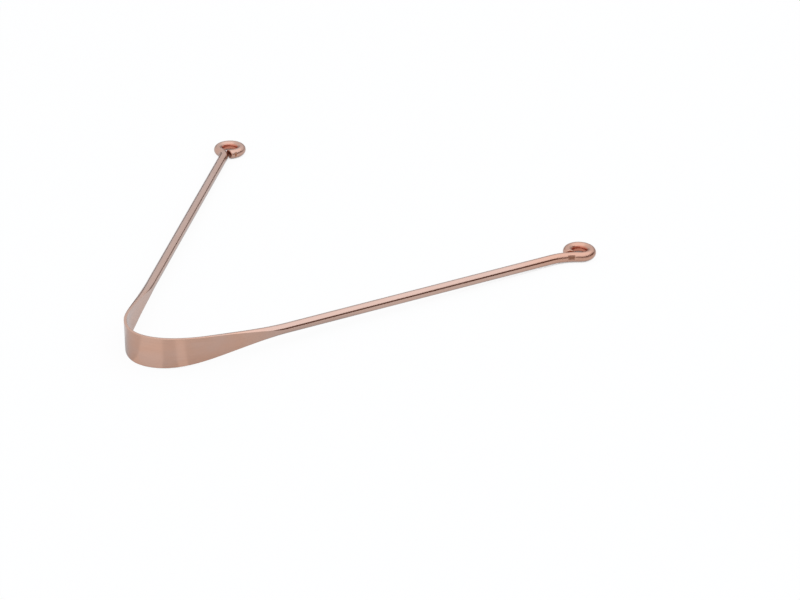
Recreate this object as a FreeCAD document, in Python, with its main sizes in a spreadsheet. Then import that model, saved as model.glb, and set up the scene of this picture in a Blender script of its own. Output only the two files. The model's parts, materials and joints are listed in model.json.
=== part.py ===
import FreeCAD, Part
import math
import os

import Sketcher
from FreeCAD import Placement, Rotation, Vector

# Copper tongue scraper made from one length of round wire. The middle is rolled flat and bent into the
# scraping blade, two shoulders draw the flat strip back to round wire, and each arm ends in a curled eye.
# Everything is drawn in the plane of the bend: x runs from the crown of the bend to the handles, y to the
# left arm, z square to the plane. It is then laid down on the blade's lower edge and the two eyes.
# Lengths are in millimetres and angles in degrees.
SIZES = {
    "wire_diameter": 2.8,
    "blade_width": 8.9,
    "blade_thickness": 0.75,
    "blade_edge_radius": 0.3,
    # length along the crown at full width, and what each edge has dropped by the end of the bend
    "full_width_length": 13.8,
    "edge_drop": 0.65,
    # bend radius at the middle of the strip, and the angle between the two arms
    "bend_radius": 13.2,
    "opening_angle": 51.0,
    "shoulder_length": 29.5,
    "left_arm_length": 86.0,
    "right_arm_length": 83.0,
    # each eye: an outward neck, then an inward curl round a mandrel that leaves a small flat in the bore,
    # with a gap between the wire's cut end and the neck that it curls back to
    "left_neck_radius": 5.2,
    "left_neck_angle": 48.8,
    "left_eye_bore": 4.7,
    "left_end_gap": 0.4,
    "right_neck_radius": 15.8,
    "right_neck_angle": 32.1,
    "right_eye_bore": 4.2,
    "right_end_gap": 0.8,
    "mandrel_flat": 0.1,
    # clearance between the blade and each shoulder, where the handle flexes
    "flex_gap": 0.1,
}
SIDES = {"left": 1, "right": -1}
SHOULDER_STATIONS = 6
# Depth of the block that the blade is cut from and side of the square cut away around it, in bend radii
BLOCK_DEPTH = 4
CUT_SIDE = 6
# Largest part of a strip's thickness that the rounding of one edge may take
EDGE_SHARE = 0.45
# How far the volume of a sweep may stray from its section times its length
SWEEP_TOLERANCE = 0.01

X_AXIS = Vector(1, 0, 0)
Z_AXIS = Vector(0, 0, 1)
ORIGIN = (-1, 1)
VERTICAL_AXIS = -2
HORIZONTAL_AXIS = -1
START, END, CENTRE = 1, 2, 3

# Expressions on the sheet that several features share
HALF_OPENING = "(sizes.opening_angle / 2)"
JOINT_REACH = f"(sizes.bend_radius * cos({HALF_OPENING}))"
FULL_REACH = "(sizes.bend_radius * sin(sizes.full_width_length / sizes.bend_radius * 90 / pi))"
GAP_ANGLE = "(sizes.flex_gap / sizes.bend_radius * 90 / pi)"
CURL_RADIUS = "(sizes.{side}_eye_bore / 2 - sizes.mandrel_flat + sizes.wire_diameter / 2)"


def make_sheet(doc):
    """Put every driving size in a sheet cell with its own alias."""
    sheet = doc.addObject("Spreadsheet::Sheet", "sizes")
    for row, (alias, value) in enumerate(SIZES.items(), start=1):
        sheet.set(f"A{row}", alias)
        sheet.set(f"B{row}", str(value))
        sheet.setAlias(f"B{row}", alias)
    doc.recompute()
    return sheet


def make_body(doc, label):
    """Add an empty body that carries the sub-part's name."""
    body = doc.addObject("PartDesign::Body", label)
    body.Label = label
    return body


def sketch_on(body, role, name):
    """Add a sketch on one of the body's own origin planes."""
    sketch = body.newObject("Sketcher::SketchObject", name)
    plane = next(item for item in body.Origin.OriginFeatures if item.Role == role)
    sketch.AttachmentSupport = (plane, [""])
    sketch.MapMode = "FlatFace"
    return sketch


def fix(sketch, *terms):
    """Add a geometric constraint."""
    return sketch.addConstraint(Sketcher.Constraint(*terms))


def drive(sketch, name, expression, *terms):
    """Add a dimension, name it and tie it to the sheet."""
    index = fix(sketch, *terms)
    sketch.renameConstraint(index, name)
    sketch.setExpression(f"Constraints.{name}", expression)


def wire_section(body, size):
    """The round wire's section, square to the body's x axis at its start."""
    sketch = sketch_on(body, "YZ_Plane", f"{body.Label}_section")
    diameter = size("wire_diameter")
    circle = sketch.addGeometry(Part.Circle(Vector(), Z_AXIS, diameter / 2))
    fix(sketch, "Coincident", circle, CENTRE, *ORIGIN)
    drive(sketch, "wire", "sizes.wire_diameter", "Diameter", circle, diameter)
    return sketch


def leaf_sketch(body, size):
    """The blade seen from the front: full width at the crown, each edge dropping towards the ends."""
    sketch = sketch_on(body, "YZ_Plane", "leaf")
    half_width = size("blade_width") / 2
    radius = size("bend_radius")
    full = radius * math.sin(size("full_width_length") / 2 / radius)
    joint = radius * math.cos(math.radians(size("opening_angle") / 2))
    drop = size("edge_drop")
    drop_radius = ((joint - full) ** 2 + drop**2) / (2 * drop)
    reach = radius + size("blade_thickness")
    swing = math.asin((reach - full) / drop_radius)
    end_height = half_width - drop_radius * (1 - math.cos(swing))
    upright = math.pi / 2

    def edge_line(sign):
        return Part.LineSegment(Vector(-full * sign, half_width * sign), Vector(full * sign, half_width * sign))

    def drop_arc(x_sign, y_sign):
        centre = Vector(x_sign * full, y_sign * (half_width - drop_radius))
        circle = Part.Circle(centre, Z_AXIS, drop_radius)
        middle = y_sign * upright
        turn = -x_sign * y_sign * swing
        low, high = sorted((middle, middle + turn))
        return Part.ArcOfCircle(circle, low, high)

    def end_line(sign):
        return Part.LineSegment(Vector(reach * sign, end_height * sign), Vector(reach * sign, -end_height * sign))

    top = sketch.addGeometry(edge_line(1))
    top_right = sketch.addGeometry(drop_arc(1, 1))
    right = sketch.addGeometry(end_line(1))
    low_right = sketch.addGeometry(drop_arc(1, -1))
    low = sketch.addGeometry(edge_line(-1))
    low_left = sketch.addGeometry(drop_arc(-1, -1))
    left = sketch.addGeometry(end_line(-1))
    top_left = sketch.addGeometry(drop_arc(-1, 1))
    fix(sketch, "Tangent", top, END, top_right, END)
    fix(sketch, "Coincident", top_right, START, right, START)
    fix(sketch, "Coincident", right, END, low_right, END)
    fix(sketch, "Tangent", low_right, START, low, START)
    fix(sketch, "Tangent", low, END, low_left, END)
    fix(sketch, "Coincident", low_left, START, left, START)
    fix(sketch, "Coincident", left, END, top_left, END)
    fix(sketch, "Tangent", top_left, START, top, START)
    fix(sketch, "Symmetric", top, START, top, END, VERTICAL_AXIS)
    fix(sketch, "Symmetric", low, START, low, END, VERTICAL_AXIS)
    fix(sketch, "Vertical", right)
    fix(sketch, "Vertical", left)
    for arc in (low_right, low_left, top_left):
        fix(sketch, "Equal", top_right, arc)
    fix(sketch, "Equal", top, low)
    drop_size = f"(({JOINT_REACH} - {FULL_REACH})^2 + sizes.edge_drop^2) / (2 * sizes.edge_drop)"
    drive(sketch, "drop_radius", drop_size, "Radius", top_right, drop_radius)
    drive(sketch, "full_width", f"2 * {FULL_REACH}", "DistanceX", top, START, top, END, 2 * full)
    drive(sketch, "top_edge", "sizes.blade_width / 2", "DistanceY", *ORIGIN, top, END, half_width)
    drive(sketch, "low_edge", "sizes.blade_width / 2", "DistanceY", low, START, *ORIGIN, half_width)
    end_reach = "sizes.bend_radius + sizes.blade_thickness"
    drive(sketch, "right_end", end_reach, "DistanceX", *ORIGIN, right, START, reach)
    drive(sketch, "left_end", end_reach, "DistanceX", left, START, *ORIGIN, reach)
    return sketch


def around_band_sketch(body, size):
    """Everything in plan except the bent strip: a square with the strip's outline inside it."""
    sketch = sketch_on(body, "XY_Plane", "around_band")
    radius = size("bend_radius")
    thickness = size("blade_thickness")
    turn = math.radians(90 - size("opening_angle") / 2) - size("flex_gap") / 2 / radius
    margin = CUT_SIDE / 2 * radius
    centre = Vector(radius, 0)
    corners = [Vector(margin * a, margin * b) for a, b in ((-1, -1), (1, -1), (1, 1), (-1, 1))]
    frame = []
    for corner, following in zip(corners, corners[1:] + corners[:1]):
        frame.append(sketch.addGeometry(Part.LineSegment(corner, following)))
    for line, following in zip(frame, frame[1:] + frame[:1]):
        fix(sketch, "Coincident", line, END, following, START)
    for line, direction in zip(frame, ("Horizontal", "Vertical") * 2):
        fix(sketch, direction, line)
    fix(sketch, "Symmetric", frame[0], START, frame[1], END, *ORIGIN)
    for line, direction in ((frame[0], "DistanceX"), (frame[1], "DistanceY")):
        side = f"{CUT_SIDE} * sizes.bend_radius"
        drive(sketch, f"frame_{line}", side, direction, line, START, line, END, 2 * margin)

    def bent_face(offset):
        circle = Part.Circle(centre, Z_AXIS, radius + offset)
        return Part.ArcOfCircle(circle, math.pi - turn, math.pi + turn)

    def end_cut(sign):
        way = Vector(-math.cos(turn), sign * math.sin(turn))
        inner = centre + way * (radius - thickness / 2)
        outer = centre + way * (radius + thickness / 2)
        return Part.LineSegment(inner, outer)

    outer = sketch.addGeometry(bent_face(thickness / 2))
    inner = sketch.addGeometry(bent_face(-thickness / 2))
    left = sketch.addGeometry(end_cut(1))
    right = sketch.addGeometry(end_cut(-1))
    fix(sketch, "Coincident", outer, START, left, END)
    fix(sketch, "Coincident", inner, START, left, START)
    fix(sketch, "Coincident", outer, END, right, END)
    fix(sketch, "Coincident", inner, END, right, START)
    fix(sketch, "Coincident", outer, CENTRE, inner, CENTRE)
    fix(sketch, "PointOnObject", outer, CENTRE, HORIZONTAL_AXIS)
    for line in (left, right):
        fix(sketch, "PointOnObject", outer, CENTRE, line)
    drive(sketch, "bend_centre", "sizes.bend_radius", "DistanceX", *ORIGIN, outer, CENTRE, radius)
    half = "sizes.blade_thickness / 2"
    drive(sketch, "outer_face", f"sizes.bend_radius + {half}", "Radius", outer, radius + thickness / 2)
    drive(sketch, "inner_face", f"sizes.bend_radius - {half}", "Radius", inner, radius - thickness / 2)
    full_turn = f"(180 - sizes.opening_angle - 2 * {GAP_ANGLE}) * 1 deg"
    drive(sketch, "turn", full_turn, "Angle", outer, 2 * turn)
    fix(sketch, "Vertical", left, END, right, END)
    return sketch


def long_edges(shape):
    """Names of the strip's long edges: where a bent face meets the top or the bottom edge."""
    names = []
    for index, edge in enumerate(shape.Edges, start=1):
        faces = shape.ancestorsOfType(edge, Part.Face)
        bent = [face for face in faces if isinstance(face.Surface, Part.Cylinder) and abs(face.Surface.Axis.z) > 0.5]
        ends = [face for face in faces if isinstance(face.Surface, Part.Plane) and abs(face.Surface.Axis.z) < 0.5]
        if bent and not ends:
            names.append(f"Edge{index}")
    return names


def make_blade(doc, size):
    """The flat strip, bent round the crown, with rounded long edges."""
    body = make_body(doc, "scraping_blade")
    leaf = body.newObject("PartDesign::Pad", "leaf_block")
    leaf.Profile = leaf_sketch(body, size)
    leaf.SideType = "Symmetric"
    leaf.setExpression("Length", f"{BLOCK_DEPTH} * sizes.bend_radius")
    doc.recompute()
    band = body.newObject("PartDesign::Pocket", "bent_band")
    band.Profile = around_band_sketch(body, size)
    band.Type = "ThroughAll"
    band.SideType = "Symmetric"
    doc.recompute()
    if band.Shape.Volume > leaf.Shape.Volume / 2:
        raise RuntimeError("the leaf block was not cut back to the bent band")
    rounding = body.newObject("PartDesign::Fillet", "rounded_edges")
    rounding.Base = (band, long_edges(band.Shape))
    rounding.setExpression("Radius", f"min(sizes.blade_edge_radius; {EDGE_SHARE} * sizes.blade_thickness)")
    return body


def strip_wire(width, thickness, distance):
    """A rolled section at a distance along the shoulder: two edge arcs and two flatter face arcs.

    A section as thick as it is wide comes out as a true circle.
    """
    flatness = math.tan(math.pi / 8) * (thickness / width) ** 2
    split = math.pi / 2 - 2 * math.atan(flatness)
    offset = (width - thickness) / 2 / (math.cos(split) + math.sin(split) - 1)
    edge_radius = width / 2 - offset * math.cos(split)
    half = edge_radius * math.sin(split)
    rise = (offset + edge_radius) * math.cos(split)

    def point(across, up):
        return Vector(distance, across, up)

    corners = [point(half, rise), point(half, -rise), point(-half, -rise), point(-half, rise)]
    middles = [point(thickness / 2, 0), point(0, -width / 2), point(-thickness / 2, 0), point(0, width / 2)]
    arcs = []
    for corner, middle, following in zip(corners, middles, corners[1:] + corners[:1]):
        arcs.append(Part.Arc(corner, middle, following).toShape())
    return Part.Wire(arcs)


def make_shoulder(doc, side, size):
    """The length where the flat strip narrows and thickens back to round wire.

    Its last section is a true circle, where a sketch's tangent arcs would have no fixed corners, so its
    sections are set from edges.
    """
    wire = size("wire_diameter")
    thickness = size("blade_thickness")
    width = size("blade_width") - 2 * size("edge_drop")
    growth = math.log(wire / thickness) / math.log(width / wire)
    start = size("flex_gap") / 2
    sections = []
    for station in range(SHOULDER_STATIONS):
        along = station / (SHOULDER_STATIONS - 1)
        flat_share = (1 - along) ** 2 * (1 + along)
        station_width = wire + (width - wire) * flat_share
        station_thickness = thickness * (width / station_width) ** growth
        distance = start + (size("shoulder_length") - start) * along
        sections.append(strip_wire(station_width, station_thickness, distance))
    shoulder = doc.addObject("Part::Feature", f"{side}_shoulder")
    shoulder.Label = f"{side}_shoulder"
    shoulder.Shape = Part.makeLoft(sections, True, False)
    return shoulder


def make_arm(doc, side, size):
    """The straight round length of an arm."""
    body = make_body(doc, f"{side}_arm")
    pad = body.newObject("PartDesign::Pad", f"{side}_rod")
    pad.Profile = wire_section(body, size)
    pad.setExpression("Length", f"sizes.{side}_arm_length")
    return body


def eye_radius(side, size):
    """Radius of the eye's curl at the middle of the wire."""
    return size(f"{side}_eye_bore") / 2 - size("mandrel_flat") + size("wire_diameter") / 2


def eye_curl(side, size):
    """Angle of the curl, in radians, that leaves the end gap between the cut end and the curl's start."""
    chord = size("wire_diameter") + size(f"{side}_end_gap")
    return 2 * math.pi - 2 * math.asin(chord / 2 / eye_radius(side, size))


def eye_centre(side, size):
    """Centre of the eye from the end of its arm, with the arm along x and outwards along y."""
    neck = size(f"{side}_neck_radius")
    angle = math.radians(size(f"{side}_neck_angle"))
    curl = eye_radius(side, size)
    return Vector((neck + curl) * math.sin(angle), neck - (neck + curl) * math.cos(angle))


def eye_path(body, side, size):
    """Centre line of an eye: an arc outwards, then a tangent arc curling inwards."""
    sketch = sketch_on(body, "XY_Plane", f"{side}_eye_path")
    neck_radius = size(f"{side}_neck_radius")
    neck_angle = math.radians(size(f"{side}_neck_angle"))
    curl_radius = eye_radius(side, size)
    curl_angle = eye_curl(side, size)
    quarter = math.pi / 2
    neck_circle = Part.Circle(Vector(0, neck_radius), Z_AXIS, neck_radius)
    neck = sketch.addGeometry(Part.ArcOfCircle(neck_circle, -quarter, neck_angle - quarter))
    curl_circle = Part.Circle(eye_centre(side, size), Z_AXIS, curl_radius)
    curl_start = quarter + neck_angle
    curl = sketch.addGeometry(Part.ArcOfCircle(curl_circle, curl_start - curl_angle, curl_start))
    fix(sketch, "Coincident", neck, START, *ORIGIN)
    fix(sketch, "PointOnObject", neck, CENTRE, VERTICAL_AXIS)
    fix(sketch, "Tangent", neck, END, curl, END)
    drive(sketch, "neck_radius", f"sizes.{side}_neck_radius", "Radius", neck, neck_radius)
    drive(sketch, "neck_angle", f"sizes.{side}_neck_angle * 1 deg", "Angle", neck, neck_angle)
    curl_size = CURL_RADIUS.format(side=side)
    chord = f"(sizes.wire_diameter + sizes.{side}_end_gap)"
    drive(sketch, "curl_radius", curl_size, "Radius", curl, curl_radius)
    drive(sketch, "curl_angle", f"360 deg - 2 * asin({chord} / 2 / {curl_size})", "Angle", curl, curl_angle)
    return sketch


def bore_sketch(body, side, size):
    """The mandrel's circle at the centre of the eye."""
    sketch = sketch_on(body, "XY_Plane", f"{side}_bore_circle")
    neck = f"sizes.{side}_neck_radius"
    reach = f"({neck} + {CURL_RADIUS.format(side=side)})"
    angle = f"sizes.{side}_neck_angle"
    sketch.setExpression("AttachmentOffset.Base.x", f"{reach} * sin({angle})")
    sketch.setExpression("AttachmentOffset.Base.y", f"{neck} - {reach} * cos({angle})")
    bore = size(f"{side}_eye_bore")
    circle = sketch.addGeometry(Part.Circle(Vector(), Z_AXIS, bore / 2))
    fix(sketch, "Coincident", circle, CENTRE, *ORIGIN)
    drive(sketch, "bore", f"sizes.{side}_eye_bore", "Diameter", circle, bore)
    return sketch


def make_eye(doc, side, size):
    """The neck and the curled eye at the end of an arm, with its bore sized by the mandrel."""
    body = make_body(doc, f"{side}_eye")
    section = wire_section(body, size)
    path = eye_path(body, side, size)
    doc.recompute()
    curl = body.newObject("PartDesign::AdditivePipe", f"{side}_curl")
    curl.Profile = section
    curl.Spine = (path, ["Edge1", "Edge2"])
    doc.recompute()
    bore = body.newObject("PartDesign::Pocket", f"{side}_bore")
    bore.Profile = bore_sketch(body, side, size)
    bore.Type = "ThroughAll"
    bore.SideType = "Symmetric"
    doc.recompute()
    length = math.radians(size(f"{side}_neck_angle")) * size(f"{side}_neck_radius")
    length += eye_curl(side, size) * eye_radius(side, size)
    swept = math.pi * size("wire_diameter") ** 2 / 4 * length
    if abs(curl.Shape.Volume / swept - 1) > SWEEP_TOLERANCE or bore.Shape.Volume >= curl.Shape.Volume:
        raise RuntimeError(f"the {side} eye did not sweep or was not bored")
    return body


def side_placements(side, size):
    """Where a side's shoulder, arm and eye start, in the plane of the bend."""
    half_opening = size("opening_angle") / 2
    turn = math.radians(90 - half_opening)
    radius = size("bend_radius")
    joint = Vector(radius * (1 - math.cos(turn)), SIDES[side] * radius * math.sin(turn))
    shoulder = Placement(joint, Rotation(Z_AXIS, SIDES[side] * half_opening))
    arm = shoulder * Placement(X_AXIS * size("shoulder_length"), Rotation())
    flip = 0 if side == "left" else 180
    eye = arm * Placement(X_AXIS * size(f"{side}_arm_length"), Rotation(X_AXIS, flip))
    return {"shoulder": shoulder, "arm": arm, "eye": eye}


def lying_placement(size):
    """Turn the bend's x axis to row +Y and tip the handles down until the eyes and the blade's edge touch.

    The blade's edge touches where its full width ends, and an eye touches at its far side.
    """
    radius = size("bend_radius")
    near = radius * (1 - math.cos(size("full_width_length") / 2 / radius))
    far = 0
    for side in SIDES:
        centre = side_placements(side, size)["eye"].multVec(eye_centre(side, size))
        far = max(far, centre.x + eye_radius(side, size))
    tip = math.degrees(math.atan2((size("blade_width") - size("wire_diameter")) / 2, far - near))
    return Placement(Vector(), Rotation(X_AXIS, -tip)) * Placement(Vector(), Rotation(Z_AXIS, 90))


def check(doc, pieces):
    """Stop unless every object computed and every sub-part is one valid solid."""
    for item in doc.Objects:
        if {"Invalid", "Error"} & set(item.State):
            raise RuntimeError(f"{item.Name} is {item.State}")
    for piece in pieces:
        shape = piece.Shape
        if shape.isNull() or not shape.isValid() or len(shape.Solids) != 1:
            raise RuntimeError(f"{piece.Label} is not one valid solid")


def main():
    doc = FreeCAD.newDocument("tongue_scraper")
    sheet = make_sheet(doc)
    size = sheet.get
    placed = {make_blade(doc, size): Placement()}
    for side in SIDES:
        places = side_placements(side, size)
        placed[make_shoulder(doc, side, size)] = places["shoulder"]
        placed[make_arm(doc, side, size)] = places["arm"]
        placed[make_eye(doc, side, size)] = places["eye"]
    lying = lying_placement(size)
    for piece, place in placed.items():
        piece.Placement = lying * place
    doc.recompute()
    check(doc, placed)

    # The origin is under the middle of the whole object, on the surface that it lies on.
    box = Part.makeCompound([piece.Shape for piece in placed]).optimalBoundingBox(False, False)
    to_origin = Placement(Vector(-box.Center.x, -box.Center.y, -box.ZMin), Rotation())
    for piece, place in placed.items():
        piece.Placement = to_origin * lying * place
    doc.recompute()
    check(doc, placed)

    os.makedirs("parts", exist_ok=True)
    for piece in placed:
        piece.Shape.exportStep(f"parts/{piece.Label}.step")
        print(f"{piece.Label}: {piece.Shape.Volume:.2f} mm3")
    print(f"box {box.XLength:.3f} x {box.YLength:.3f} x {box.ZLength:.3f}")
    plane = to_origin * lying
    print("crown", plane.multVec(Vector()), "normal", plane.Rotation.multVec(Z_AXIS))
    for side in SIDES:
        places = side_placements(side, size)
        print(f"{side} flex axis", (plane * places["shoulder"]).Base)
        print(f"{side} eye centre", (plane * places["eye"]).multVec(eye_centre(side, size)))


main()
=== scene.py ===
"""Copper tongue scraper: one rolled, bent and curled wire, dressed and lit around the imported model."""
import json
import logging
import math
from dataclasses import dataclass, fields
from enum import Enum
from typing import Any, Mapping, Union

import bpy
from mathutils import Matrix, Vector


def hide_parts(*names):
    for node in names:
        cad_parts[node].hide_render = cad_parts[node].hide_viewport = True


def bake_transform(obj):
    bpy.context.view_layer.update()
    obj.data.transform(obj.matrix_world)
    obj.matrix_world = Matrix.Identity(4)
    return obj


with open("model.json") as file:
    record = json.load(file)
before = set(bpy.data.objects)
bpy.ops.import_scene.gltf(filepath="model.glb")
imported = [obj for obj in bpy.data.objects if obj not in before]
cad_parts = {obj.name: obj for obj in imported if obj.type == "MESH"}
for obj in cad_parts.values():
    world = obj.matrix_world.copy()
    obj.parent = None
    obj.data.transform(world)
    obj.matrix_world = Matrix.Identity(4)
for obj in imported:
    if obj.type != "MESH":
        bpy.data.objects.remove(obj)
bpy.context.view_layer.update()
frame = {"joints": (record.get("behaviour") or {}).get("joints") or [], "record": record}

MM = 0.001
STRAIGHT = "straight"
WORKED = "worked"
# Plier flats, painted shade on the cut ends, and the eyes' warmth.
MARKS_SHADE_WARMTH = "tooled"
WHITE = (1.0, 1.0, 1.0)

log = logging.getLogger("tongue_scraper")

Number = Union[float, "Signal"]
Colour = tuple[float, float, float]


def opaque(colour: Colour) -> tuple[float, float, float, float]:
    """A colour with full alpha, as a socket takes it."""
    return (*colour, 1.0)


class Side(Enum):
    """The two halves of the wire, with the sign of their place across the bend."""

    LEFT = 1
    RIGHT = -1

    @property
    def word(self) -> str:
        """The side's name as the frame writes it."""
        return self.name.lower()


class Signal:
    """One output of a node, which can be used in plain arithmetic."""

    def __init__(self, graph: "Graph", socket: bpy.types.NodeSocket) -> None:
        """Keep the output and the graph that it belongs to."""
        self.graph = graph
        self.socket = socket

    def output(self, name: str) -> "Signal":
        """Another output of the same node."""
        return Signal(self.graph, self.socket.node.outputs[name])

    def __add__(self, other: Number) -> "Signal":
        """Sum of two values."""
        return self.graph.math("ADD", self, other)

    def __sub__(self, other: Number) -> "Signal":
        """Difference of two values."""
        return self.graph.math("SUBTRACT", self, other)

    def __rsub__(self, other: Number) -> "Signal":
        """Difference of a number and this value."""
        return self.graph.math("SUBTRACT", other, self)

    def __mul__(self, other: Number) -> "Signal":
        """Product of two values."""
        return self.graph.math("MULTIPLY", self, other)

    def __truediv__(self, other: Number) -> "Signal":
        """Quotient of two values."""
        return self.graph.math("DIVIDE", self, other)

    def __rtruediv__(self, other: Number) -> "Signal":
        """Quotient of a number and this value."""
        return self.graph.math("DIVIDE", other, self)

    def __pow__(self, other: Number) -> "Signal":
        """This value raised to a power."""
        return self.graph.math("POWER", self, other)

    def __rpow__(self, other: Number) -> "Signal":
        """A number raised to this value."""
        return self.graph.math("POWER", other, self)

    __radd__ = __add__
    __rmul__ = __mul__


class Graph:
    """A node tree that is written as expressions."""

    def __init__(self, tree: bpy.types.NodeTree) -> None:
        """Keep the tree that nodes are added to."""
        self.tree = tree

    def node(
        self,
        kind: str,
        settings: Mapping[str, Any] | None = None,
        inputs: Mapping[str | int, Any] | None = None,
        output: str | int = 0,
    ) -> Signal:
        """Add a node.

        Args:
            kind: The node's type.
            settings: Properties to set first. The value of capture_items is a map of name to type.
            inputs: Numbers or signals for its input sockets, by name or place.
            output: Which output to return.

        Returns:
            The chosen output.
        """
        node = self.tree.nodes.new(kind)
        for name, value in (settings or {}).items():
            if name == "capture_items":
                for label, data_type in value.items():
                    node.capture_items.new(data_type, label)
            else:
                setattr(node, name, value)
        for key, value in (inputs or {}).items():
            if isinstance(value, Signal):
                self.tree.links.new(value.socket, node.inputs[key])
            else:
                node.inputs[key].default_value = value
        return Signal(self, node.outputs[output])

    def plug(self, signal: Signal, node: bpy.types.Node, name: str) -> None:
        """Link a signal to an input of a node that is there already."""
        self.tree.links.new(signal.socket, node.inputs[name])

    def math(self, operation: str, *terms: Number) -> Signal:
        """Add a Math node.

        Args:
            operation: What it works out.
            terms: Its values, in order.

        Returns:
            The result.
        """
        return self.node("ShaderNodeMath", {"operation": operation}, dict(enumerate(terms)))

    def clamp(self, value: Number) -> Signal:
        """Keep a value between 0 and 1."""
        return self.math("MINIMUM", self.math("MAXIMUM", value, 0.0), 1.0)

    def ease(self, value: Number, low: float, high: float) -> Signal:
        """Rise smoothly from 0 at low to 1 at high."""
        return self.node(
            "ShaderNodeMapRange",
            {"interpolation_type": "SMOOTHSTEP"},
            {"Value": value, "From Min": low, "From Max": high},
        )

    def vector(self, x: Number, y: Number, z: Number) -> Signal:
        """Join three values in a vector."""
        return self.node("ShaderNodeCombineXYZ", inputs={"X": x, "Y": y, "Z": z})

    def split(self, vector: Signal) -> tuple[Signal, Signal, Signal]:
        """Part a vector into its three values."""
        x = self.node("ShaderNodeSeparateXYZ", inputs={"Vector": vector})
        return x, x.output("Y"), x.output("Z")

    def vector_math(self, operation: str, first: Any, second: Any) -> Signal:
        """Add a Vector Math node with two vectors."""
        return self.node("ShaderNodeVectorMath", {"operation": operation}, {0: first, 1: second})

    def scaled(self, vector: Signal, factor: Number) -> Signal:
        """A vector times a value."""
        return self.node("ShaderNodeVectorMath", {"operation": "SCALE"}, {0: vector, "Scale": factor})

    def mix(self, factor: Number, first: Any, second: Any) -> Signal:
        """Mix two colours."""
        return self.node("ShaderNodeMix", {"data_type": "RGBA"}, {0: factor, 6: first, 7: second}, 2)


@dataclass(frozen=True)
class RolledStrip:
    """The flat middle of the wire and the shoulders that lead back to round."""

    wire: float = 2.8 * MM
    width: float = 8.98 * MM
    thickness: float = 0.75 * MM
    full_length: float = 1.0 * MM
    leaf_length: float = 16.8 * MM
    edge_drop: float = 0.8 * MM
    mean_radius: float = 13.2 * MM
    crown_shift: tuple[float, float] = (-0.351 * MM, 0.958 * MM)
    opening: float = math.radians(51.0)

    @property
    def turn(self) -> float:
        """Angle of the bend from the crown to one arm."""
        return (math.pi - self.opening) / 2

    @property
    def end_width(self) -> float:
        """Width of the strip where the shoulder starts."""
        return self.width - 2 * self.edge_drop

    def plane(self) -> Matrix:
        """The bend's own plane in the row frame, taken from the two flex joints.

        Returns:
            A matrix whose x runs from the middle of a bend of the mean radius to the handles, and y to the
            left arm.
        """
        joints = {joint["name"]: joint for joint in frame["joints"]}
        left, right = (Vector(joints[f"{side.word}_flex"]["pos_m"]) for side in Side)
        normal = Vector(joints["right_flex"]["axis"]).normalized()
        across = (left - right).normalized()
        along = across.cross(normal)
        crown = (left + right) / 2 - along * self.mean_radius * (1 - math.cos(self.turn))
        return Matrix.Translation(crown) @ Matrix((along, across, normal)).transposed().to_4x4()


@dataclass(frozen=True)
class CurledEye:
    """An outward neck and the inward curl at the end of an arm."""

    neck_radius: float
    neck_angle: float
    end_gap: float
    end_reach: float
    end_slant: float
    warmth: float
    bore_flat: float = 0.1 * MM

    @staticmethod
    def hole(side: Side) -> Mapping[str, Any]:
        """The eye's bore in the frame."""
        mounts = {mount["name"]: mount for mount in frame["record"]["mounts"]}
        return mounts[f"{side.word}_eye_hole"]

    def curl_radius(self, side: Side, wire: float) -> float:
        """Radius of the curl's centre line, from the eye's bore."""
        return self.hole(side)["dims"]["r_mm"] * MM - self.bore_flat + wire / 2


@dataclass(frozen=True)
class PlierMark:
    """A flat that a tool pressed into the wire."""

    after_arm: float
    length: float
    depth: float
    facing: float


@dataclass(frozen=True)
class SweepSizes:
    """Sizes that the sweep's node tree takes as its named inputs."""

    wire: float
    width: float
    thickness: float
    full_length: float
    leaf_length: float
    edge_drop: float
    shoulder_length: float
    thickening: float
    eye_start: float
    total_length: float
    end_rounding: float
    end_slant: float
    slant_length: float
    turn: float
    mark_start: float
    mark_length: float
    mark_depth: float
    mark_across: float
    mark_rise: float
    warmth: float


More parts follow.
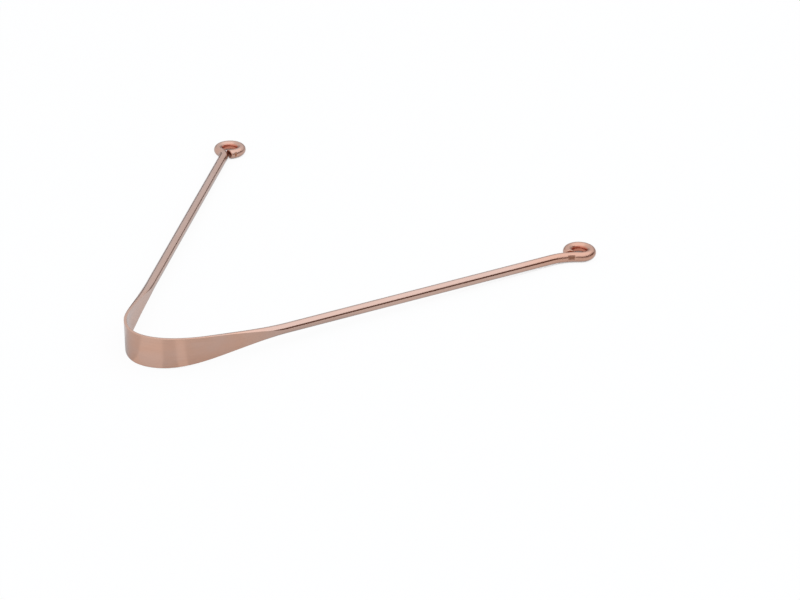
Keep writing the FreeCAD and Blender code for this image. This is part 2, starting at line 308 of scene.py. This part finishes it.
@dataclass(frozen=True)
class WireSweep:
    """Node tree that sweeps the rolled section along a centre line."""

    sides: int = 64
    edge_spread: float = 0.35
    mark_side: float = 0.12 * MM
    mark_full: float = 0.3 * MM
    # Painted shade on the cut ends, as a share of the dark mark colour.
    cut_dark: float = 0.6
    warm_from: float = -20.0 * MM
    warm_to: float = 4.0 * MM
    tiny: float = 1e-6

    def tree(self, material: bpy.types.Material) -> bpy.types.NodeTree:
        """Build the tree.

        Args:
            material: What the swept mesh is made of.

        Returns:
            A tree with one input for each of the sweep's sizes.
        """
        tree = bpy.data.node_groups.new("rolled_wire", "GeometryNodeTree")
        tree.interface.new_socket("Geometry", in_out="INPUT", socket_type="NodeSocketGeometry")
        tree.interface.new_socket("Geometry", in_out="OUTPUT", socket_type="NodeSocketGeometry")
        for item in fields(SweepSizes):
            tree.interface.new_socket(item.name, in_out="INPUT", socket_type="NodeSocketFloat")
        graph = Graph(tree)
        entry = graph.node("NodeGroupInput")
        size = {item.name: entry.output(item.name) for item in fields(SweepSizes)}

        along = graph.node("GeometryNodeSplineParameter", output="Length")
        line = graph.node(
            "GeometryNodeCaptureAttribute",
            {"capture_items": {"along": "FLOAT", "centre": "VECTOR", "heading": "VECTOR"}},
            {
                "Geometry": entry,
                "along": along,
                "centre": graph.node("GeometryNodeInputPosition"),
                "heading": graph.node("GeometryNodeInputTangent"),
            },
        )
        ring = graph.node(
            "GeometryNodeCaptureAttribute",
            {"capture_items": {"unit": "VECTOR"}},
            {
                "Geometry": graph.node(
                    "GeometryNodeCurvePrimitiveCircle", {"mode": "RADIUS"}, {"Resolution": self.sides}
                ),
                "unit": graph.node("GeometryNodeInputPosition"),
            },
        )
        tube = graph.node(
            "GeometryNodeCurveToMesh", inputs={"Curve": line, "Profile Curve": ring, "Fill Caps": True}
        )
        along = line.output("along")
        across, rise, flat, pressed = self.section(graph, size, along, ring.output("unit"))
        up = (0.0, 0.0, 1.0)
        sideways = graph.vector_math("CROSS_PRODUCT", line.output("heading"), up)
        offset = graph.vector_math("ADD", graph.scaled(sideways, across), graph.vector(0.0, 0.0, rise))
        near_end = graph.clamp(1 - (size["total_length"] - along) / size["slant_length"])
        lean = across * size["turn"] * size["end_slant"] * near_end
        offset = graph.vector_math("ADD", offset, graph.scaled(line.output("heading"), lean))
        place = graph.vector_math("ADD", line.output("centre"), offset)
        shaped = graph.node("GeometryNodeSetPosition", inputs={"Geometry": tube, "Position": place})
        straight = graph.vector(along * size["turn"], across, rise)
        eye = graph.clamp((along - size["eye_start"]) / size["wire"])
        worked = graph.vector(flat, eye, across * size["turn"] / (size["wire"] / 2))
        # Painted shade on each cut end, stored with the plier flats and the eyes' warmth.
        cut = 1 - graph.clamp((size["total_length"] - along) / size["end_rounding"])
        warm = graph.ease(along - size["eye_start"], self.warm_from, self.warm_to) * size["warmth"]
        tooled = graph.vector(graph.math("MAXIMUM", pressed, cut * self.cut_dark), warm, 0.0)
        for name, value in ((STRAIGHT, straight), (WORKED, worked), (MARKS_SHADE_WARMTH, tooled)):
            shaped = graph.node(
                "GeometryNodeStoreNamedAttribute",
                {"data_type": "FLOAT_VECTOR", "domain": "POINT"},
                {"Geometry": shaped, "Name": name, "Value": value},
            )
        outward = graph.node("GeometryNodeFlipFaces", inputs={"Mesh": shaped})
        smooth = graph.node("GeometryNodeSetShadeSmooth", inputs={"Geometry": outward})
        real = graph.node("GeometryNodeRealizeInstances", inputs={"Geometry": smooth})
        done = graph.node("GeometryNodeSetMaterial", inputs={"Geometry": real, "Material": material})
        graph.plug(done, tree.nodes.new("NodeGroupOutput"), "Geometry")
        return tree

    def section(
        self, graph: Graph, size: Mapping[str, Signal], along: Signal, unit: Signal
    ) -> tuple[Signal, Signal, Signal, Signal]:
        """The rolled section: two flats creased to round edges, which become a circle as the flats close.

        Args:
            graph: The tree.
            size: The tree's inputs.
            along: Length along the centre line.
            unit: Place round a unit circle.

        Returns:
            Distance across the wire, distance up, how flat the wire is there, and how far it is pressed in
            by a tool, both from 0 to 1.
        """
        cosine, sine, _ = graph.split(unit)
        past = graph.clamp((along - size["full_length"]) / (size["leaf_length"] - size["full_length"]))
        end_width = size["width"] - 2 * size["edge_drop"]
        share = graph.clamp((along - size["leaf_length"]) / size["shoulder_length"])
        strip = size["wire"] + (end_width - size["wire"]) * (1 - share) ** 2 * (1 + share)
        width = strip + 2 * size["edge_drop"] * (1 - past * past)
        thick = size["thickness"] * (end_width / strip) ** size["thickening"]

        radius = size["wire"] / 2
        centre = width / 2 - radius
        crease = graph.math("ARCCOSINE", graph.clamp(thick / size["wire"]))
        flat = centre + radius * graph.math("SINE", crease)
        round_angle = math.pi / 2 - crease
        edge = radius * round_angle
        edge_share = (edge / (edge + flat)) ** self.edge_spread
        quarter = graph.math("ARCTAN2", graph.math("ABSOLUTE", sine), graph.math("ABSOLUTE", cosine))
        quarter = quarter / (math.pi / 2)
        on_edge = graph.clamp((quarter - 1 + edge_share) / edge_share) ** (1 + graph.clamp(flat / radius))
        off_flat = 1 - graph.clamp(quarter / (1 - edge_share + self.tiny))
        angle = crease + round_angle * on_edge
        across = radius * graph.math("COSINE", angle) * graph.math("SIGN", cosine)
        rise = centre + radius * graph.math("SINE", angle) - flat * off_flat * off_flat
        rise = rise * graph.math("SIGN", sine)

        from_end = graph.clamp((size["total_length"] - along) / size["end_rounding"])
        shrink = 1 - (1 - from_end) ** 2 * (2 * size["end_rounding"] / size["wire"])
        across = across * shrink
        rise = rise * shrink

        into = along - size["mark_start"]
        inside = graph.math("MINIMUM", into, size["mark_length"] - into) / self.mark_side
        pressed = size["wire"] / 2 - size["mark_depth"] * graph.ease(inside, 0.0, 1.0)
        facing = across * size["mark_across"] + rise * size["mark_rise"]
        over = graph.math("MAXIMUM", facing - pressed, 0.0) * graph.math("GREATER_THAN", inside, 0.0)
        across = across - over * size["mark_across"]
        rise = rise - over * size["mark_rise"]
        flatness = (width - thick) / (size["width"] - size["thickness"])
        return across, rise, flatness, graph.clamp(over / self.mark_full)


@dataclass(frozen=True)
class Grain:
    """Noise over the straightened wire, and how strongly it tints the metal."""

    fine_along: float
    fine_across: float
    detail: float
    low: float
    high: float
    strength: float

    def noise(self, graph: Graph, along: Signal, across: Signal, rise: Signal) -> Signal:
        """Smooth noise around one half."""
        place = graph.vector(along * self.fine_along, across * self.fine_across, rise * self.fine_across)
        return graph.node(
            "ShaderNodeTexNoise", inputs={"Vector": place, "Scale": 1.0, "Detail": self.detail}
        )

    def tint(self, graph: Graph, noise: Signal) -> Signal:
        """How far the noise tints the metal."""
        return graph.ease(noise, self.low, self.high) * self.strength


@dataclass(frozen=True)
class CopperFinish:
    """Polished copper with drawing lines along the wire, a satin blade and warmer, duller eyes, with
    painted copper bounce on the blade and painted shade inside the curls and on the cut ends.
    """

    name: str = "polished_copper"
    wire_colour: Colour = (0.545, 0.37, 0.30)
    # Richer than the wire: painted reflection of copper-tinted floor light in front of the blade.
    blade_colour: Colour = (0.605, 0.366, 0.27)
    pale: Colour = (0.58, 0.40, 0.33)
    deep: Colour = (0.44, 0.26, 0.19)
    warm_eye: Colour = (0.57, 0.315, 0.222)
    # Painted shade and red copper bounce light inside the curls.
    inside_curl: Colour = (0.62, 0.23, 0.15)
    # Darkens the pressed plier flats, and paints shade on the cut ends.
    tool_mark: Colour = (0.33, 0.13, 0.068)
    grazing: Colour = (0.82, 0.9, 0.94)
    wire_roughness: float = 0.19
    blade_roughness: float = 0.21
    curl_roughness: float = 0.32
    drawing_lines: Grain = Grain(
        fine_along=90.0, fine_across=9000.0, detail=3.0, low=0.55, high=0.8, strength=0.45
    )
    clouding: Grain = Grain(
        fine_along=120.0, fine_across=260.0, detail=2.0, low=0.35, high=0.75, strength=0.5
    )
    specks: Grain = Grain(
        fine_along=2600.0, fine_across=2600.0, detail=2.0, low=0.68, high=0.8, strength=0.25
    )
    noise_middle: float = 0.5
    line_roughness: float = 0.08
    cloud_roughness: float = 0.06
    bump_strength: float = 0.06
    bump_depth: float = 0.02 * MM
    bump_clouds: float = 0.5
    blade_range: tuple[float, float] = (0.0, 0.4)
    curl_range: tuple[float, float] = (0.62, 0.95)
    curl_share: float = 0.9
    mark_range: tuple[float, float] = (0.1, 1.0)
    mark_share: float = 0.95

    def material(self) -> bpy.types.Material:
        """Build the shader.

        Returns:
            The copper material.
        """
        made = bpy.data.materials.new(self.name)
        made.use_nodes = True
        graph = Graph(made.node_tree)
        shader = made.node_tree.nodes["Principled BSDF"]
        along, across, rise = self.stored(graph, STRAIGHT)
        flat, eye, inward = self.stored(graph, WORKED)
        pressed, warm, _ = self.stored(graph, MARKS_SHADE_WARMTH)

        lines = self.drawing_lines.noise(graph, along, across, rise)
        clouds = self.clouding.noise(graph, along, across, rise)
        specks = self.specks.noise(graph, along, across, rise)
        # Painted shade and copper bounce light on the inner side of each curl.
        curl = eye * graph.ease(inward, *self.curl_range) * self.curl_share
        # Dark pressed plier flats, and painted shade on the cut ends.
        mark_or_cut_shade = graph.ease(pressed, *self.mark_range) * self.mark_share

        # Painted copper-tinted reflection on the blade and the flats of the shoulders.
        rolled = graph.ease(flat, *self.blade_range)
        tone = graph.mix(rolled, opaque(self.wire_colour), opaque(self.blade_colour))
        tone = graph.mix(self.clouding.tint(graph, clouds), tone, opaque(self.pale))
        tone = graph.mix(warm, tone, opaque(self.warm_eye))
        tone = graph.mix(self.drawing_lines.tint(graph, lines), tone, opaque(self.deep))
        tone = graph.mix(self.specks.tint(graph, specks), tone, opaque(self.deep))
        tone = graph.mix(curl, tone, opaque(self.inside_curl))
        tone = graph.mix(mark_or_cut_shade, tone, opaque(self.tool_mark))
        rough = self.wire_roughness + flat * (self.blade_roughness - self.wire_roughness)
        rough = rough + eye * (self.curl_roughness - self.wire_roughness)
        rough = rough + (lines - self.noise_middle) * self.line_roughness
        rough = rough + (clouds - self.noise_middle) * self.cloud_roughness
        height = lines + clouds * self.bump_clouds
        bump = graph.node(
            "ShaderNodeBump",
            inputs={"Strength": self.bump_strength, "Distance": self.bump_depth, "Height": height},
        )
        graph.plug(tone, shader, "Base Color")
        graph.plug(rough, shader, "Roughness")
        graph.plug(bump, shader, "Normal")
        shader.inputs["Metallic"].default_value = 1.0
        shader.inputs["Specular Tint"].default_value = opaque(self.grazing)
        return made

    @staticmethod
    def stored(graph: Graph, name: str) -> tuple[Signal, Signal, Signal]:
        """The three values that the sweep stored under a name."""
        return graph.split(graph.node("ShaderNodeAttribute", {"attribute_name": name}, output="Vector"))


@dataclass(frozen=True)
class ScraperHalf:
    """Half of the wire: half the blade, one shoulder, one arm and its eye."""

    side: Side
    strip: RolledStrip
    bend_length: float
    shoulder_length: float
    eye: CurledEye
    mark: PlierMark
    bend_steps: int = 24
    strip_step: float = 0.25 * MM
    arm_step: float = 1.0 * MM
    eye_step: float = 0.12 * MM
    end_rounding: float = 0.25 * MM
    slant_length: float = 3.0 * MM
    fine_starts: tuple[float, ...] = (0.0, 0.03 * MM, 0.08 * MM, 0.16 * MM)
    fine_ends: tuple[float, ...] = (1.0, 0.75, 0.5, 0.25, 0.1, 0.0)

    @property
    def name(self) -> str:
        """The piece's name."""
        return f"{self.side.word}_half_wire"

    @property
    def eye_start(self) -> float:
        """Length along the wire from the crown to the eye's neck."""
        return self.bend_length + self.straight_length()

    def crown_arcs(self) -> list[tuple[float, float]]:
        """The bend from the crown to the arm, as short arcs that open evenly.

        Returns:
            Pairs of length and curvature.
        """
        step = self.bend_length / self.bend_steps
        sharpest = 2 * self.strip.turn / self.bend_length
        middles = ((index + 0.5) / self.bend_steps for index in range(self.bend_steps))
        return [(step, -sharpest * (1 - middle)) for middle in middles]

    def straight_length(self) -> float:
        """Fit the straight wire between the bend and the neck.

        Returns:
            The length that brings the eye to its bore in the frame.
        """
        hole = self.strip.plane().inverted() @ Vector(self.eye.hole(self.side)["pos_m"])
        half = self.strip.opening / 2
        arm = Vector((math.cos(half), math.sin(half) * self.side.value, 0.0))
        to_hole = (hole - self.walk(self.crown_arcs(), self.bend_length)).dot(arm)
        radius = self.eye.neck_radius + self.eye.curl_radius(self.side, self.strip.wire)
        return to_hole - radius * math.sin(self.eye.neck_angle)

    def bends(self) -> list[tuple[float, float]]:
        """The centre line from the crown outwards, as lengths of constant curvature.

        Returns:
            Pairs of length and curvature, positive where the wire turns outwards.
        """
        radius = self.eye.curl_radius(self.side, self.strip.wire)
        chord = self.strip.wire + self.eye.end_gap
        curl = 2 * math.pi - 2 * math.asin(chord / 2 / radius)
        return self.crown_arcs() + [
            (self.straight_length(), 0.0),
            (self.eye.neck_angle * self.eye.neck_radius, 1 / self.eye.neck_radius),
            (curl * radius + self.eye.end_reach, -1 / radius),
        ]

    def walk(self, bends: list[tuple[float, float]], along: float) -> Vector:
        """Follow a line of bends from the crown.

        Args:
            bends: Pairs of length and curvature.
            along: How far to go.

        Returns:
            The point in the plane of the bend, with the left half on the positive side.
        """
        x, y = self.strip.crown_shift
        y, heading = y * self.side.value, math.pi / 2
        left = along
        for length, curvature in bends:
            step = min(left, length)
            after = heading + step * curvature
            if curvature:
                x += (math.sin(after) - math.sin(heading)) / curvature
                y -= (math.cos(after) - math.cos(heading)) / curvature
            else:
                x += step * math.cos(heading)
                y += step * math.sin(heading)
            heading = after
            left -= step
        return Vector((x, y * self.side.value, 0.0))

    def stations(self) -> list[float]:
        """Choose where the mesh has a ring, closer where the wire is worked.

        Returns:
            Lengths along the centre line.
        """
        total = sum(length for length, _ in self.bends())
        shoulder_end = self.strip.leaf_length + self.shoulder_length
        last = total - self.end_rounding
        runs = (
            (self.strip_step, shoulder_end, self.strip_step),
            (shoulder_end, self.eye_start, self.arm_step),
            (self.eye_start, last, self.eye_step),
        )
        rings = list(self.fine_starts)
        for start, end, step in runs:
            count = round((end - start) / step)
            rings += [start + (end - start) * index / count for index in range(count)]
        return rings + [total - self.end_rounding * share for share in self.fine_ends]

    def centreline(self) -> bpy.types.Object:
        """Draw the centre line.

        Returns:
            A curve object in the plane of the bend.
        """
        curve = bpy.data.curves.new(f"{self.name}_line", "CURVE")
        curve.dimensions = "3D"
        spline = curve.splines.new("POLY")
        bends = self.bends()
        points = [self.walk(bends, along) for along in self.stations()]
        spline.points.add(len(points) - 1)
        for point, place in zip(spline.points, points):
            point.co = (*place, 1.0)
        line = bpy.data.objects.new(curve.name, curve)
        bpy.context.scene.collection.objects.link(line)
        return line

    def sizes(self) -> SweepSizes:
        """Gather what the sweep needs to know of this half.

        Returns:
            The sizes for the tree's inputs.
        """
        strip = self.strip
        thickening = math.log(strip.wire / strip.thickness) / math.log(strip.end_width / strip.wire)
        return SweepSizes(
            wire=strip.wire,
            width=strip.width,
            thickness=strip.thickness,
            full_length=strip.full_length,
            leaf_length=strip.leaf_length,
            edge_drop=strip.edge_drop,
            shoulder_length=self.shoulder_length,
            thickening=thickening,
            eye_start=self.eye_start,
            total_length=sum(length for length, _ in self.bends()),
            end_rounding=self.end_rounding,
            end_slant=self.eye.end_slant,
            slant_length=self.slant_length,
            turn=float(self.side.value),
            mark_start=self.eye_start + self.mark.after_arm,
            mark_length=self.mark.length,
            mark_depth=self.mark.depth,
            mark_across=math.cos(self.mark.facing),
            mark_rise=math.sin(self.mark.facing),
            warmth=self.eye.warmth,
        )

    def build(self, tree: bpy.types.NodeTree) -> bpy.types.Object:
        """Sweep the half as a plain mesh in the row frame.

        Args:
            tree: The sweep's node tree.

        Returns:
            The mesh object, at the origin.
        """
        line = self.centreline()
        modifier = line.modifiers.new("sweep", "NODES")
        modifier.node_group = tree
        sizes = self.sizes()
        for socket in tree.interface.items_tree:
            if socket.in_out == "INPUT" and hasattr(sizes, socket.name):
                modifier[socket.identifier] = getattr(sizes, socket.name)
        depsgraph = bpy.context.evaluated_depsgraph_get()
        mesh = bpy.data.meshes.new_from_object(line.evaluated_get(depsgraph), depsgraph=depsgraph)
        bpy.data.objects.remove(line)
        mesh.name = self.name
        mesh.transform(self.strip.plane())
        half = bpy.data.objects.new(self.name, mesh)
        bpy.context.scene.collection.objects.link(half)
        return half

    def dress(self, half: bpy.types.Object) -> None:
        """Find the crown and the middle of the shoulder, bake the half's place and hide the solids that it
        replaces.

        Args:
            half: The half's mesh object.
        """
        plane = self.strip.plane()
        start = plane @ self.walk(self.bends(), 0.0)
        end = plane @ self.walk(self.bends(), self.strip.leaf_length + self.shoulder_length / 2)
        word = self.side.word
        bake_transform(half)
        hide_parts("scraping_blade", f"{word}_shoulder", f"{word}_arm", f"{word}_eye")


@dataclass(frozen=True)
class DarkCard:
    """A low curved card round the floor, which only reflections show."""

    name: str
    distance: float
    start: float
    end: float
    height: float
    colour: Colour
    steps: int = 48

    def build(self) -> bpy.types.Object:
        """Make the card.

        Returns:
            The card's object.
        """
        points = []
        for index in range(self.steps + 1):
            angle = self.start + (self.end - self.start) * index / self.steps
            x, y = self.distance * math.cos(angle), self.distance * math.sin(angle)
            points += [(x, y, 0.0), (x, y, self.height)]
        faces = [(k, k + 1, k + 3, k + 2) for k in range(0, 2 * self.steps, 2)]
        mesh = bpy.data.meshes.new(self.name)
        mesh.from_pydata(points, [], faces)
        made = bpy.data.materials.new(self.name)
        made.use_nodes = True
        shader = made.node_tree.nodes["Principled BSDF"]
        shader.inputs["Base Color"].default_value = opaque(self.colour)
        shader.inputs["Roughness"].default_value = 1.0
        shader.inputs["Specular IOR Level"].default_value = 0.0
        mesh.materials.append(made)
        card = bpy.data.objects.new(self.name, mesh)
        card.visible_camera = False
        card.visible_diffuse = False
        card.visible_shadow = False
        bpy.context.scene.collection.objects.link(card)
        return card


@dataclass(frozen=True)
class Studio:
    """A white floor under a wide soft light, with dark cards round it for the metal to reflect, and
    painted shade on the floor round the blade.
    """

    camera_place: tuple[float, float, float] = (0.32106, -0.41554, 0.27716)
    camera_turn: float = math.radians(34.07)
    camera_pitch: float = math.radians(28.58)
    focal_share: float = 2.59540
    sensor: float = 36.0
    floor_radius: float = 8.0
    floor_colour: Colour = (0.74, 0.74, 0.74)
    white_seen: float = 0.93
    white_reflected: float = 0.5
    sheltered: float = 5.0 * MM
    shelter_range: tuple[float, float] = (0.05, 0.25)
    shelter_samples: int = 8
    # Sectors of painted shade on the floor round the blade, seen only in reflections.
    shade_centre: tuple[float, float] = (0.0, -48.2 * MM)
    shade_reach: tuple[float, float] = (45.0 * MM, 60.0 * MM)
    shade_soft: float = math.radians(1.0)
    shade_colour: Colour = (0.72, 0.72, 0.72)
    shades: tuple[tuple[float, float], ...] = (
        (math.radians(-155), math.radians(-107)),
        (math.radians(-66), math.radians(-47)),
        (math.radians(-35), math.radians(75)),
    )
    light_size: tuple[float, float] = (2.4, 2.2)
    light_place: tuple[float, float, float] = (0.7, 0.05, 0.9)
    light_radiance: float = 0.52
    light_colour: Colour = (0.92, 1.0, 1.12)
    world_colour: Colour = (0.97, 1.0, 1.05)
    world_strength: float = 1.0
    cards: tuple[DarkCard, ...] = (
        DarkCard(
            name="right_card",
            distance=0.85,
            start=math.radians(-62),
            end=math.radians(58),
            height=0.48,
            colour=(0.14, 0.065, 0.04),
        ),
        DarkCard(
            name="back_card",
            distance=1.4,
            start=math.radians(60),
            end=math.radians(156),
            height=0.24,
            colour=(0.12, 0.065, 0.045),
        ),
    )

    def build(self) -> None:
        """Make the camera, the light and what the part lies on."""
        self.camera()
        self.world()
        self.light()
        self.floor()
        for card in self.cards:
            card.build()

    def camera(self) -> None:
        """The camera at the photograph's viewing angle."""
        data = bpy.data.cameras.new("camera")
        data.sensor_fit = "HORIZONTAL"
        data.sensor_width = self.sensor
        data.lens = self.focal_share * self.sensor
        camera = bpy.data.objects.new("camera", data)
        camera.location = self.camera_place
        camera.rotation_euler = (math.pi / 2 - self.camera_pitch, 0.0, self.camera_turn)
        bpy.context.scene.collection.objects.link(camera)
        bpy.context.scene.camera = camera

    def world(self) -> None:
        """An even white surrounding."""
        world = bpy.data.worlds.new("studio")
        world.use_nodes = True
        background = world.node_tree.nodes["Background"]
        background.inputs["Color"].default_value = opaque(self.world_colour)
        background.inputs["Strength"].default_value = self.world_strength
        bpy.context.scene.world = world

    def light(self) -> None:
        """One wide soft light overhead."""
        data = bpy.data.lights.new("overhead", "AREA")
        data.shape = "RECTANGLE"
        data.size, data.size_y = self.light_size
        data.energy = self.light_radiance * math.pi * data.size * data.size_y
        data.color = self.light_colour
        lamp = bpy.data.objects.new("overhead", data)
        lamp.location = self.light_place
        bpy.context.scene.collection.objects.link(lamp)

    def floor(self) -> bpy.types.Object:
        """Lay a white floor that still shows the object's shadow.

        Returns:
            The floor's object.
        """
        mesh = bpy.data.meshes.new("floor")
        half = self.floor_radius
        corners = [(-half, -half, 0.0), (half, -half, 0.0), (half, half, 0.0), (-half, half, 0.0)]
        mesh.from_pydata(corners, [], [(0, 1, 2, 3)])
        mesh.materials.append(self.floor_material())
        floor = bpy.data.objects.new("floor", mesh)
        bpy.context.scene.collection.objects.link(floor)
        return floor

    def shade(self, graph: Graph) -> Signal:
        """Paint soft shade on the floor round the blade, in fixed sectors that only the metal's
        reflections show.

        Args:
            graph: The floor's node tree.

        Returns:
            How deep the shade is, from 0 to 1.
        """
        x, y, _ = graph.split(graph.node("ShaderNodeNewGeometry", output="Position"))
        x, y = x - self.shade_centre[0], y - self.shade_centre[1]
        turn = graph.math("ARCTAN2", y, x)
        soft = self.shade_soft
        dark = 0.0
        for start, end in self.shades:
            past_start = graph.ease(turn, start - soft, start + soft)
            past_end = graph.ease(turn, end - soft, end + soft)
            dark = dark + past_start * (1 - past_end)
        return dark * (1 - graph.ease((x * x + y * y) ** 0.5, *self.shade_reach))

    def floor_material(self) -> bpy.types.Material:
        """Paint the floor white to the camera, gloss and glass, with a share of the plain lit floor, and
        painted shade round the blade where gloss and glass see it.

        Returns:
            The floor's material.
        """
        made = bpy.data.materials.new("white_floor")
        made.use_nodes = True
        graph = Graph(made.node_tree)
        path = graph.node("ShaderNodeLightPath", output="Is Camera Ray")
        reflected = path.output("Is Glossy Ray") + path.output("Is Transmission Ray")
        open_sky = graph.node(
            "ShaderNodeAmbientOcclusion",
            {"samples": self.shelter_samples},
            {"Distance": self.sheltered},
            output="AO",
        )
        share = graph.clamp(path * self.white_seen + reflected * self.white_reflected)
        share = share * graph.ease(open_sky, *self.shelter_range)
        # Painted shade round the blade, only in what gloss and glass see.
        tone = graph.mix(reflected * self.shade(graph), opaque(WHITE), opaque(self.shade_colour))
        lit = graph.node("ShaderNodeBsdfDiffuse", inputs={"Color": opaque(self.floor_colour)})
        white = graph.node("ShaderNodeEmission", inputs={"Color": tone})
        mixed = graph.node("ShaderNodeMixShader", inputs={0: share, 1: lit, 2: white})
        graph.plug(mixed, made.node_tree.nodes["Material Output"], "Surface")
        return made


def main() -> None:
    """Build the two halves and the studio."""
    logging.basicConfig(level=logging.INFO, format="%(name)s: %(message)s")
    bpy.context.scene.view_settings.view_transform = "Standard"
    strip = RolledStrip()
    halves = [
        ScraperHalf(
            side=Side.LEFT,
            strip=strip,
            bend_length=19.0 * MM,
            shoulder_length=22.4 * MM,
            eye=CurledEye(
                neck_radius=5.2 * MM,
                neck_angle=math.radians(48.8),
                end_gap=0.4 * MM,
                end_reach=0.2 * MM,
                end_slant=0.72,
                warmth=0.4,
            ),
            mark=PlierMark(
                after_arm=22.45 * MM, length=0.75 * MM, depth=0.3 * MM, facing=math.radians(180.0)
            ),
        ),
        ScraperHalf(
            side=Side.RIGHT,
            strip=strip,
            bend_length=24.0 * MM,
            shoulder_length=25.8 * MM,
            eye=CurledEye(
                neck_radius=15.8 * MM,
                neck_angle=math.radians(32.1),
                end_gap=0.8 * MM,
                end_reach=0.68 * MM,
                end_slant=0.58,
                warmth=0.75,
            ),
            mark=PlierMark(
                after_arm=5.0 * MM, length=2.3 * MM, depth=0.2 * MM, facing=math.radians(13.0)
            ),
        ),
    ]
    tree = WireSweep().tree(CopperFinish().material())
    for half in halves:
        piece = half.build(tree)
        half.dress(piece)
        log.info("%s: %d faces", piece.name, len(piece.data.polygons))
    bpy.data.node_groups.remove(tree)
    Studio().build()


if __name__ == "__main__":
    main()
